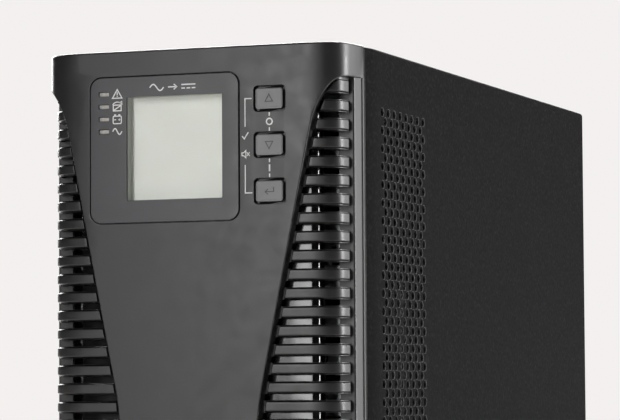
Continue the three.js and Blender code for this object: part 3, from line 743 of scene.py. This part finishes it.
def add_slats(bm, side):
    """Proud bars with sloping flanks, each on a web that ties it to the panel."""
    end = side * BEZEL.reach_where(1, SLAT_REAR)
    for number, (bottom, top) in enumerate(slat_levels()):
        loop = inside_window(side, 2.4 if number else 1.1)
        heights = [bottom + (top - bottom) * share / 6 for share in range(7)]
        inner = [(reach_at(loop, z, side), z) for z in heights if abs(reach_at(loop, z, side)) < abs(end) - 1]
        outline = inner + [(end, inner[-1][1]), (end, bottom)]
        slab(bm, outline, fillet(0.45, 2) + [(-WEB, 1.7), (-WEB, 4.2)], front=SLAT_DEPTH)
        loop = inside_window(side, -1)
        near = [(reach_at(loop, z, side), z) for z in (bottom - WEB, top + WEB)]
        near = [point for point in near if abs(point[0]) < 74]
        if near:
            web = near + [(side * 76, near[-1][1] + 0.1), (side * 76, bottom - WEB)]
            slab(bm, web, [(0, 0), (0, 2)], front=WEB_DEPTH)


def add_fins(bm):
    """The slats' deep ends, which reach back to the corner walls."""
    end = BEZEL.reach_where(1, SLAT_REAR)
    start = BEZEL.reach_where(0, 78)
    steps = 6
    curve = [tuple(BEZEL.at(start + (end - start) * i / steps, 4.6)) for i in range(steps + 1)]
    back = CORNER_WALL[0][1] + 0.5
    plan = curve + [(curve[-1][0] + 0.6, back), (76, back)]
    for side in (-1, 1):
        for bottom, top in slat_levels():
            fin = bmesh.new()
            slab(fin, [(side * x, y) for x, y in plan], [(0, 0), (0, top - bottom + 2 * WEB)])
            lay(fin, lambda along, depth, z: (along, z, top + WEB - depth))
            append(bm, fin)


def add_corner_walls(bm):
    """Walls behind the slats' ends, notched where the slots between the slats end."""
    path = corner_wall_path()
    open_end = SLOT_END - CORNER_WALL[0][0]
    end = path.reach[-1]
    levels = slat_levels()
    loop = [(end, WINDOW_BOTTOM - 1.2), (end, WINDOW_TOP + 1.2), (0, WINDOW_TOP + 1.2)]
    for (above, _), (_, below) in zip(levels, levels[1:]):
        high, low = above - WEB, below + WEB
        loop.append((0, high))
        loop += bezier([(open_end - 1, high), (open_end, high), (open_end, high - 1)], 3)
        loop += bezier([(open_end, low + 1.4), (open_end, low), (open_end - 1.9, low)], 4)
        loop.append((0, low))
    loop.append((0, WINDOW_BOTTOM - 1.2))
    for side in (-1, 1):
        wall = bmesh.new()
        slab(wall, [(side * (x + 0.01), z) for x, z in loop], [(0.2, 0), (0, 0.2), (0, 2)])
        cut_at(wall, [side * (reach + 0.01) for reach in path.reach[1:-1]])
        lay(wall, on(path))
        append(bm, wall)


def front_bezel():
    """The moulded front: skin with its openings, slats, corner walls and caps, all in one."""
    bm = bmesh.new()
    openings = [(window_outline(side), WINDOW_EDGE) for side in (-1, 1)]
    small_edge = fillet(0.35, 2) + [(0, WALL)]
    openings.append((rounded(grown(DISPLAY, 0.45), 6.9, 8), small_edge))
    for i in range(3):
        opening = rounded(around(KEY_X, KEY_FIRST - i * KEY_PITCH, *KEY_OPENING), 2.2)
        openings.append((opening, small_edge))
    skin = [(-BEZEL_END, BOTTOM), (BEZEL_END, BOTTOM), (BEZEL_END, TOP), (-BEZEL_END, TOP)]
    slab(bm, skin, OUTER_EDGE, openings)
    for side in (-1, 1):
        add_slats(bm, side)
    cut_at(bm, bezel_stations())
    lay(bm, on(BEZEL))
    add_fins(bm)
    add_corner_walls(bm)
    for level in (TOP - 0.03, BOTTOM + WALL):
        add_cap(bm, level)
    return solid("bezel_moulding", bm, BEZEL_PLASTIC)


def add_cap(bm, level):
    """The level wall that closes the bezel at its top or bottom."""
    half = [BEZEL.at(reach, 2.0) for reach in sorted(r for r in bezel_stations() if r > 0)]
    outline = [tuple(point) for point in half] + [(-point.x, point.y) for point in reversed(half)]
    cap = bmesh.new()
    slab(cap, outline, [(0, 0), (0, WALL)])
    lay(cap, lambda along, depth, z: (along, z, level - depth))
    append(bm, cap)


def append(bm, other):
    """Adds another drawing to this one."""
    copies = {vert: bm.verts.new(vert.co) for vert in other.verts}
    for face in other.faces:
        bm.faces.new([copies[vert] for vert in face.verts])
    other.free()


def inner_baffle(side):
    """Glossy second row of slats, half a pitch below the first."""
    path = baffle_path()
    bm = bmesh.new()
    slots = []
    loop = inside_window(side, -0.6)
    end = side * path.reach_where(0, BAFFLE_TURN - 1.5)
    for bottom, top in slat_levels()[1:]:
        low, high = bottom + 0.3, top - 0.3
        inner = [(reach_at(loop, z, side), z) for z in (low, (low + high) / 2, high)]
        if abs(inner[-1][0]) < abs(end) - 2:
            slots.append((inner + [(end, high), (end, low)], fillet(0.9, 4) + [(0, 2)]))
    edge = side * path.reach[-1]
    sheet = [(x, z) for x, z in inside_window(side, -3.6) if abs(x) < abs(end)]
    sheet += [(edge, WINDOW_TOP), (edge, WINDOW_BOTTOM)]
    slab(bm, sheet, [(0, 0), (0, 2)], slots)
    cut_at(bm, [side * reach for reach in path.reach[1:-1]])
    lay(bm, on(path))
    name = "left" if side < 0 else "right"
    return solid(f"baffle_{name}", bm, FINISHES["glossy_plastic"])


# ---- display and keys

def display_frame():
    """Dark overlay plate with its screen window and the slots of the four lamps."""
    bm = bmesh.new()
    window = [(0.25, 0), (0.07, 0.07), (0, 0.25), (0, 0.8), (1.6, 0.8), (1.6, 3.2)]
    holes = [(rounded(LCD, 0.6, 3), window)]
    for i in range(4):
        slot = rounded(around(LED_X, LED_FIRST - i * LED_PITCH, *LED_WINDOW), 0.3, 2)
        holes.append((slot, [(0, 0), (0, 3.2)]))
    slab(bm, rounded(DISPLAY, 6.5, 10), fillet(0.45) + [(0, 3.2)], holes, -0.2)
    flange = rounded(grown(DISPLAY, 2.4), 8, 8)
    behind = [(0, 0), (0, 1.2)]
    slab(bm, flange, behind, [(rounded(grown(LCD, 1.7), 0.6, 3), behind)], 2.9)
    return solid("display_plate", bm, FINISHES["display_plastic"])


def key_symbols():
    """The closed outlines or lines that mark each key: up, down and enter."""
    up = ([(-2.2, -1.7), (2.2, -1.7), (0, 2.3)], True)
    down = ([(-2.2, 1.7), (0, -2.3), (2.2, 1.7)], True)
    enter = ([(2.6, 2.0), (2.6, -0.4), (-2.4, -0.4)], False)
    head = ([(-0.7, 1.1), (-2.4, -0.4), (-0.7, -1.9)], False)
    return [[up], [down], [enter, head]]


def key(i, marks):
    """A key with a grey face, an engraved symbol, its retaining flange and its stem; all behind the face is
    dark, painted shade in the gap round it.
    """
    z = KEY_FIRST - i * KEY_PITCH
    bm = bmesh.new()
    cap = rounded(around(KEY_X, z, *KEY_CAP), 1.6, 6)
    edge = [(1.25, 0.16), (0.95, 0.1), (0.8, 0)] + [(0.8 * a, 0.8 * b) for a, b in fillet(1, 4)[1:]]
    slab(bm, cap, edge + [(0, 4.2)], front=-0.8)
    flange = rounded(around(KEY_X, z, 21, 16.6), 0.6, 2)
    slab(bm, flange, [(0, 0), (0, 1.2)], front=3.2)
    stem = [(KEY_X + across, z + up) for across, up in ((-2, -2), (2, -2), (2, 2), (-2, 2))]
    slab(bm, stem, [(0, 0), (0, 2.2)], front=4.3)
    # sides, flange and stem get the dark bezel plastic: painted shade in the gap round the key
    paint(bm, lambda face: face.calc_center_median().y > -0.4)
    piece = solid(KEY_NODES[i].replace("key", "keycap"), bm, KEY_PLASTIC, BEZEL_PLASTIC)
    cutter = bmesh.new()
    for points, closed in marks:
        placed = [(KEY_X + x, z + height) for x, height in points]
        ribbon(cutter, placed, 0.5, closed, -1.2, 0.8)
    engrave(piece, solid("engraving_tool", cutter, ENGRAVED))
    return piece


def engrave(piece, tool):
    """Cuts a tool's shape out of a piece for good; the cut faces keep the tool's material."""
    piece.data.materials.append(ENGRAVED.material)
    modifier = piece.modifiers.new("engraving", "BOOLEAN")
    modifier.operation = "DIFFERENCE"
    modifier.object = tool
    modifier.solver = "EXACT"
    modifier.use_self = True
    modifier.material_mode = "TRANSFER"
    depsgraph = bpy.context.evaluated_depsgraph_get()
    mesh = bpy.data.meshes.new_from_object(piece.evaluated_get(depsgraph))
    piece.modifiers.clear()
    piece.data = mesh
    bpy.data.objects.remove(tool)


def sine(x, z, width, height):
    """One wave with its middle at (x, z)."""
    shares = [i / 16 for i in range(17)]
    return [(x + width * (s - 0.5), z + height / 2 * math.sin(2 * math.pi * s)) for s in shares]


def moved(strokes, x, z):
    """Strokes (points, width, closed) drawn about the origin, moved to a place on the panel."""
    return [([(x + a, z + b) for a, b in points], width, closed) for points, width, closed in strokes]


def lamp_icons():
    """Warning triangle, bypass, battery and sine wave, one beside each lamp."""
    triangle = [
        ([(-2.9, -2.3), (2.9, -2.3), (0, 2.5)], 0.6, True),
        ([(0, 1), (0, -0.7)], 0.6, False),
        ([(0, -1.1), (0, -1.6)], 0.6, False),
    ]
    bypass = [
        ([(-2.4, -2.4), (2.4, -2.4), (2.4, 0.8), (-2.4, 0.8)], 0.6, True),
        ([(-2, -2), (2, 0.4)], 0.6, False),
        (arc((0, -0.9), 3.4, 145, 42, 10), 0.55, False),
        ([(1.5, 2.1), (2.9, 1.3), (2.7, 2.8)], 0.5, True),
    ]
    battery = [
        (rounded(around(0, -0.5, 5, 4.2), 0.7, 3), 0.6, True),
        ([(-1.9, 2.2), (-0.7, 2.2)], 0.9, False),
        ([(0.7, 2.2), (1.9, 2.2)], 0.9, False),
        ([(-1.9, -0.4), (-0.7, -0.4)], 0.5, False),
        ([(0.7, -0.4), (1.9, -0.4)], 0.5, False),
        ([(1.3, -1), (1.3, 0.2)], 0.5, False),
    ]
    strokes = []
    for i, icon in enumerate((triangle, bypass, battery, [(sine(0, 0, 5.6, 3.4), 0.65, False)])):
        strokes += moved(icon, ICON_X, LED_FIRST - i * LED_PITCH)
    return strokes


def title_symbols():
    """Generic power symbols above the screen: alternating current, conversion, steady output."""
    lines = [sine(-19.5, 0, 8.4, 3.6), [(-12.6, 0), (-7.6, 0)], [(-9.2, 1.5), (-7.4, 0), (-9.2, -1.5)]]
    lines.append([(-4.6, 1), (3.8, 1)])
    lines += [[(-4.6 + 3.1 * i, -1), (-2.4 + 3.1 * i, -1)] for i in range(3)]
    return moved([(line, 0.7, False) for line in lines], 0, TOP - 21.2)


def key_legends():
    """Lines between the keys with the usual off and on symbols, and the bracket beside them."""
    off = (arc((0, 0), 1.7, 0, 345, 23), 0.75, True)
    on_mark = ([(0, 1.9), (0, -1.9)], 0.85, False)
    strokes = []
    for i, mark in enumerate((off, on_mark)):
        lines = [([(0, 5.1), (0, 3.1)], 0.7, False), ([(0, -3.1), (0, -5.1)], 0.7, False)]
        strokes += moved(lines + [mark], KEY_X, KEY_FIRST - (i + 0.5) * KEY_PITCH)
    reach = KEY_PITCH + 0.5
    speaker = [(-1.9, -3.8), (-0.9, -3.8), (0.4, -2.6), (0.4, -6.6), (-0.9, -5.4), (-1.9, -5.4)]
    bracket = [
        ([(3.9, reach), (0, reach), (0, 10.5)], 0.6, False),
        ([(0, -10.5), (0, -reach), (4.2, -reach)], 0.6, False),
        ([(-1.8, 5.4), (-0.5, 3.8), (1.9, 7.4)], 0.65, False),
        (speaker, 0.5, True),
        ([(1, -3.6), (2.6, -5.6)], 0.5, False),
        ([(1, -5.6), (2.6, -3.6)], 0.5, False),
    ]
    return strokes + moved(bracket, 33.2, KEY_FIRST - KEY_PITCH - 0.2)


def printing(name, strokes, front):
    """Printed strokes (points, width, closed) on a face at y = front."""
    bm = bmesh.new()
    for stroke in strokes:
        ribbon(bm, *stroke, front)
    return solid(name, bm, PRINT)


# ---- cover

def cover_path():
    """The cover's section, from the foot of its right side over the top to the left."""
    radius = 2.5
    right = COVER_HALF
    points = [(right, COVER_BOTTOM)]
    tangents = [(0, 1)]
    for x, start in ((right - radius, 0), (radius - right, 90)):
        points += arc((x, COVER_TOP - radius), radius, start, start + 90, 6)
        tangents += arc((0, 0), 1, start + 90, start + 180, 6)
    points.append((-right, COVER_BOTTOM))
    tangents.append((0, -1))
    return Path(points, tangents)


COVER = cover_path()


def on_cover(along, depth, y):
    """Lays the cover's sheet on its section; the front edge of each side is drawn in a little."""
    point = COVER.at(along, depth)
    drawn_in = COVER_DRAW * max(0.0, 1 - (y - COVER_FRONT) / COVER_DRAW_LENGTH) ** 2
    return (point.x - math.copysign(drawn_in, point.x) * min(1.0, abs(point.x) / COVER_HALF), y, point.y)


def top_cover():
    """Folded steel cover with staggered rows of six-sided air holes near the front of each side."""
    bm = bmesh.new()
    holes = []
    length = COVER.reach[-1]
    edge = fillet(0.3, 2) + [(0, 1)]
    for row in range(HOLE_ROWS):
        rise = HOLES_TOP - row * HOLE_ROW - COVER_BOTTOM
        shift = HOLE_PITCH_Y / 2 if row % 2 else 0
        for column in range(7 if row % 2 else 8):
            y = HOLES_FRONT + shift + column * HOLE_PITCH_Y
            for along in (rise, length - rise):
                holes.append((arc((along, y), HOLE_RADIUS, 90, 390, 5), edge))
    sheet = [(0, COVER_FRONT), (length, COVER_FRONT), (length, COVER_REAR), (0, COVER_REAR)]
    slab(bm, sheet, fillet(0.3, 1) + [(0, 1)], holes)
    # hole walls, fillets and sheet edges get the lighter coat, painted light on them
    paint(bm, lambda face: abs(face.normal.y) < 0.98)
    cut_at(bm, COVER.reach[1:-1])
    cut_at(bm, [COVER_FRONT + COVER_DRAW_LENGTH * i / 5 for i in range(1, 6)], (0, 0, 1))
    lay(bm, on_cover)
    return solid("cover_shell", bm, POWDER_COAT, PAINTED_LIGHT_EDGE_COAT, angle=50)


# ---- fans and fasteners

def fan_centre(side):
    return (FAN_X if side == "right" else -FAN_X, 0, FAN_Z)


def fan_rotor(side):
    """Hub with seven cambered blades."""
    front, back = (depth_of(corner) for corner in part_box(f"fan_rotor_{side}"))
    centre = fan_centre(side)
    bm = bmesh.new()
    hub = [(0, front), (15, front), (17, front + 1.5), (17, back - 2), (15.5, back), (0, back)]
    lathe(bm, hub, centre, 40)
    for i in range(7):
        add_blade(bm, centre, (front + back) / 2, 2 * math.pi * i / 7)
    return solid(f"rotor_{side}", bm, FINISHES["dark_plastic"])


def add_blade(bm, centre, middle, turn):
    """A cambered blade, swept forwards and flatter towards its tip."""
    spans, chords = 7, 8
    layers = []
    for half_thickness in (-0.6, 0.6):
        rows = []
        for i in range(spans + 1):
            share = i / spans
            radius = 16 + 21.4 * share
            row = []
            for j in range(chords + 1):
                across = 2 * j / chords - 1
                angle = turn + 0.34 * share**2 + across * (0.6 - 0.05 * share)
                thick = half_thickness * (1 - 0.7 * across**4)
                rise = across * (8 - 2.2 * share) + 1.4 * (1 - across**2) + thick
                row.append(bm.verts.new((
                    centre[0] + radius * math.cos(angle), middle + rise, centre[2] + radius * math.sin(angle)
                )))
            rows.append(row)
        layers.append(rows)
    for rows in layers:
        for near, far in zip(rows, rows[1:]):
            for j in range(chords):
                bm.faces.new((near[j], near[j + 1], far[j + 1], far[j]))
    lower, upper = layers
    rim = [(0, j) for j in range(chords)] + [(i, chords) for i in range(spans)]
    rim += [(spans, j) for j in range(chords, 0, -1)] + [(i, 0) for i in range(spans, 0, -1)]
    for (a, b), (c, d) in zip(rim, rim[1:] + rim[:1]):
        bm.faces.new((lower[a][b], lower[c][d], upper[c][d], upper[a][b]))


def fan_guard(side):
    """Chromed wire guard: three rings welded on two crossed wires with flattened eyes."""
    x, _, z = fan_centre(side)
    y = REAR_FACE + 0.35
    bm = bmesh.new()
    for radius in GUARD_RINGS:
        wire = arc((radius, 2.4), 0.8, 0, 330, 11)
        lathe(bm, wire + wire[:1], (x, y, z), 56)
    for turn in (34, -34):
        rod(bm, (x - 34, y + 0.95, z - turn), (x + 34, y + 0.95, z + turn), 0.9)
    eye = [(2.2, 0), (4.2, 0), (4.4, 0.3), (4.4, 1.3), (4.2, 1.6), (2.2, 1.6), (2.2, 0)]
    for across in (-FAN_SCREW, FAN_SCREW):
        for up in (-FAN_SCREW, FAN_SCREW):
            lathe(bm, eye, (x + across, y, z + up), 24)
    lathe(bm, [(0, 0.2), (3.8, 0.2), (4, 0.5), (4, 2.8), (3.6, 3.2), (0, 3.2)], (x, y, z))
    bmesh.ops.remove_doubles(bm, verts=bm.verts[:], dist=1e-4)
    return solid(f"guard_{side}", bm, CHROME)


def screw_mesh():
    """Pan-head screw, cross recess, head towards +Y, seated at the origin."""
    bm = bmesh.new()
    arm, half = 1.5, 0.33
    cross = [(half, half), (half, arm), (-half, arm), (-half, half), (-arm, half), (-arm, -half)]
    cross += [(-half, -half), (-half, -arm), (half, -arm), (half, -half), (arm, -half), (arm, half)]
    dome = [(1.1, 0), (0.5, 0.2), (0.12, 0.6), (0, 1.1), (0, 2.0)]
    slab(bm, arc((0, 0), 3.1, 0, 345, 23), dome, [(cross, [(0, 0), (0, 1.2), (0.2, 2.0)])])
    lay(bm, lambda along, depth, z: (along, 2.0 - depth, z))
    lathe(bm, [(0, 0.02), (2.6, 0.02), (2.6, 0.7), (0, 0.7)], (0, 0, 0), 24)
    lathe(bm, [(0, -5), (1.4, -5), (1.6, -4.6), (1.6, 0.3), (0, 0.3)], (0, 0, 0), 16)
    return finished_mesh("screw", bm, [CHROME], front=0)


def add_screws():
    """Screws of the rear panel, of both fan guards and of the cover's lower edges."""
    mesh = screw_mesh()
    rear = [(x, REAR_FACE, z) for x in (-86, 86) for z in (30, 130, 215, 322)]
    rear += [(x, REAR_FACE, 20) for x in (-45, 0, 45)]
    for x in (-FAN_X, FAN_X):
        for across in (-FAN_SCREW, FAN_SCREW):
            rear += [(x + across, REAR_FACE + 1.95, FAN_Z + up) for up in (-FAN_SCREW, FAN_SCREW)]
    spots = [(spot, 0) for spot in rear]
    for y in (60, 245, 430):
        spots += [((side * COVER_HALF, y, 20), -side * math.pi / 2) for side in (-1, 1)]
    for number, (spot, turn) in enumerate(spots):
        screw = added(f"screw_{number + 1}", mesh)
        screw.location = (spot[0] * MM, FRONT + spot[1] * MM, spot[2] * MM)
        screw.rotation_euler.z = turn
        screw.rotation_euler.y = number * 0.7 if turn == 0 else 0
        bpy.context.view_layer.update()
        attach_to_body(screw, "chassis")


ROUNDING = {
    "black_steel": 0.25, "zinc_steel": 0.25, "clear_plastic": 0.1, "rubber": 1.2, "battery_case": 1.5,
}
REPLACED = set()  # CAD nodes that a drawn piece takes the place of


def finish_cad_nodes():
    """Gives every CAD node its material, and those that stay a small rounding on their edges."""
    for part in frame["record"]["subparts"]:
        node = NODES[part["node"]]
        slot = part["material_slot"]
        node.material_slots[0].material = FINISHES[slot].material
        if part["node"] in REPLACED:
            continue
        weld = node.modifiers.new("weld", "WELD")
        weld.merge_threshold = 0.01 * MM
        flat = node.modifiers.new("flat faces", "DECIMATE")
        flat.decimate_type = "DISSOLVE"
        flat.angle_limit = math.radians(0.5)
        bevel = node.modifiers.new("rounding", "BEVEL")
        bevel.width = ROUNDING.get(slot, 0.35) * MM
        bevel.segments = 2
        bevel.limit_method = "ANGLE"
        bevel.angle_limit = math.radians(40)
        bevel.harden_normals = False
        node.data.shade_smooth()
        weighted(node)


# ---- assembly

def attach(piece, slot, *nodes, body="chassis"):
    """Joins a drawn piece to its body; it takes the place of these CAD nodes."""
    weighted(piece)
    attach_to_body(piece, body)
    if nodes:
        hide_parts(*nodes)
    REPLACED.update(nodes)


def build():
    attach(front_bezel(), "bezel_plastic", "front_bezel")
    attach(inner_baffle(-1), "glossy_plastic", "inner_baffle_left")
    attach(inner_baffle(1), "glossy_plastic", "inner_baffle_right")
    attach(display_frame(), "display_plastic", "display_frame")
    attach(printing("print_on_display", lamp_icons(), -0.25), "light_guide")
    attach(printing("print_above_screen", title_symbols(), -0.25), "light_guide")
    attach(printing("print_by_keys", key_legends(), -0.05), "light_guide")
    for i, marks in enumerate(key_symbols()):
        attach(key(i, marks), "key_plastic", KEY_NODES[i], body=KEY_NODES[i])
    attach(top_cover(), "black_steel", "top_cover")
    for side in ("left", "right"):
        attach(fan_rotor(side), "dark_plastic", f"fan_rotor_{side}", body=f"fan_rotor_{side}")
        attach(fan_guard(side), "chrome", f"fan_guard_{side}")
    add_screws()
    finish_cad_nodes()
    NODES["lcd_lens"].visible_shadow = False


# ---- studio

def camera():
    data = bpy.data.cameras.new("camera")
    data.sensor_width = 36
    data.lens = 174.82
    data.clip_start, data.clip_end = 0.05, 50
    view = added("camera", data)
    round_to_right, upwards, roll = 20.806, 3.5185, -0.331
    aim = Matrix.Rotation(math.radians(round_to_right), 4, "Z")
    aim @= Matrix.Rotation(math.radians(90 + upwards), 4, "X")
    aim @= Matrix.Rotation(math.radians(roll), 4, "Z")
    view.matrix_world = Matrix.Translation((0.6501, FRONT - 1.5241, TOP * MM - 0.192)) @ aim
    bpy.context.scene.camera = view


def softbox(name, azimuth, elevation, distance, width, height, power):
    """A rectangular light seen from the object at this azimuth (0 is the front, 90 the right)."""
    data = bpy.data.lights.new(name, "AREA")
    data.shape = "RECTANGLE"
    data.size, data.size_y = width, height
    data.energy = power
    lamp = added(name, data)
    a, e = math.radians(azimuth), math.radians(elevation)
    direction = Vector((math.sin(a) * math.cos(e), -math.cos(a) * math.cos(e), math.sin(e)))
    lamp.location = Vector((0, 0, 0.2)) + direction * distance
    lamp.rotation_euler = direction.to_track_quat("Z", "Y").to_euler()
    lamp.visible_camera = False


def studio():
    """Pale backdrop and floor; tall strips for the front and the right side, soft fills elsewhere."""
    scene = bpy.context.scene
    scene.view_settings.view_transform = "Standard"
    world = bpy.data.worlds.new("backdrop")
    scene.world = world
    world.use_nodes = True
    tree = world.node_tree
    backdrop = tree.nodes["Background"]
    backdrop.inputs["Color"].default_value = linear(243, 240, 239)
    dim = tree.nodes.new("ShaderNodeBackground")
    dim.inputs["Color"].default_value = (0.022, 0.022, 0.023, 1)
    ray = tree.nodes.new("ShaderNodeLightPath")
    mix = tree.nodes.new("ShaderNodeMixShader")
    tree.links.new(ray.outputs["Is Camera Ray"], mix.inputs["Fac"])
    tree.links.new(dim.outputs["Background"], mix.inputs[1])
    tree.links.new(backdrop.outputs["Background"], mix.inputs[2])
    tree.links.new(mix.outputs["Shader"], tree.nodes["World Output"].inputs["Surface"])

    bpy.ops.mesh.primitive_plane_add(size=6, location=(0, 0, -0.0005))
    floor = bpy.context.object
    floor.name = "floor"
    paper = Finish("floor paper", linear(236, 233, 231), 0.8)
    paper.tint(paper.noise(400), linear(232, 229, 227))
    paper.roughen(paper.noise(30), 0.75, 0.85)
    floor.data.materials.append(paper.material)

    softbox("key strip", -13, 7.5, 2.6, 0.45, 2.3, 33)
    softbox("side strip", 103, 8, 2.2, 0.25, 2.4, 92)
    softbox("side fill", 132, 8, 2.2, 0.8, 2.4, 22)
    softbox("overhead", 180, 75, 2.4, 2.0, 2.0, 9)
    softbox("rear fill", -160, 30, 2.6, 1.4, 1.2, 110)
    softbox("left fill", -125, 25, 2.6, 1.0, 1.6, 80)


build()
camera()
studio()
